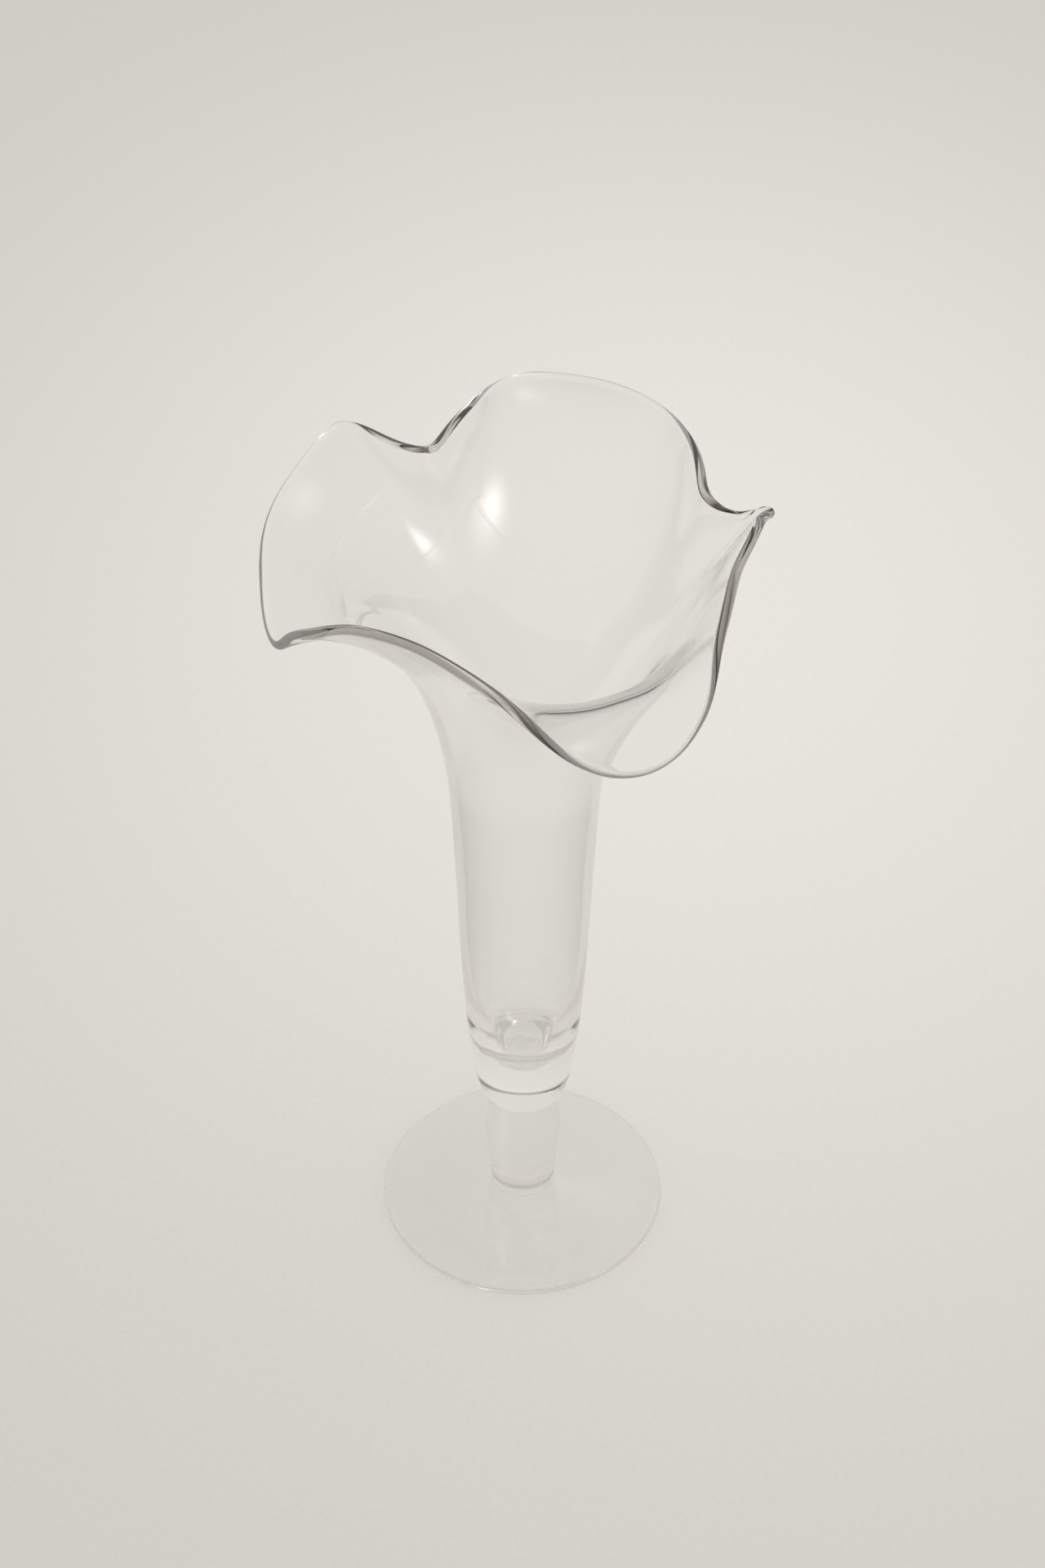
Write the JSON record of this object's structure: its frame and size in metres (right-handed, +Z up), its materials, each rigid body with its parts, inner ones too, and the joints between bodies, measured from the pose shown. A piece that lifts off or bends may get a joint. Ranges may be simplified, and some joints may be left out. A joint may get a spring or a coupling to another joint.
{
  "type": "glass vase",
  "caption": "Footed clear glass flower vase with a slender trumpet bowl, a ruffled flaring rim, a short solid stem and a round domed foot.",
  "frame": {"origin": "centre of the foot's underside, on the axis, in the plane the vase rests on", "axes": "+Z up the axis, from the foot to the rim; -Y towards the viewer of the source picture; +X to that viewer's right"},
  "size_m": [0.1371, 0.1626, 0.2628],
  "materials": {
    "clear_glass": "clear, fire-polished, with a trace of warm grey"
  },
  "bodies": {
    "root": {"foot_disc": "clear_glass", "knop_stem": "clear_glass", "trumpet_bowl": "clear_glass"}
  },
  "joints": []
}
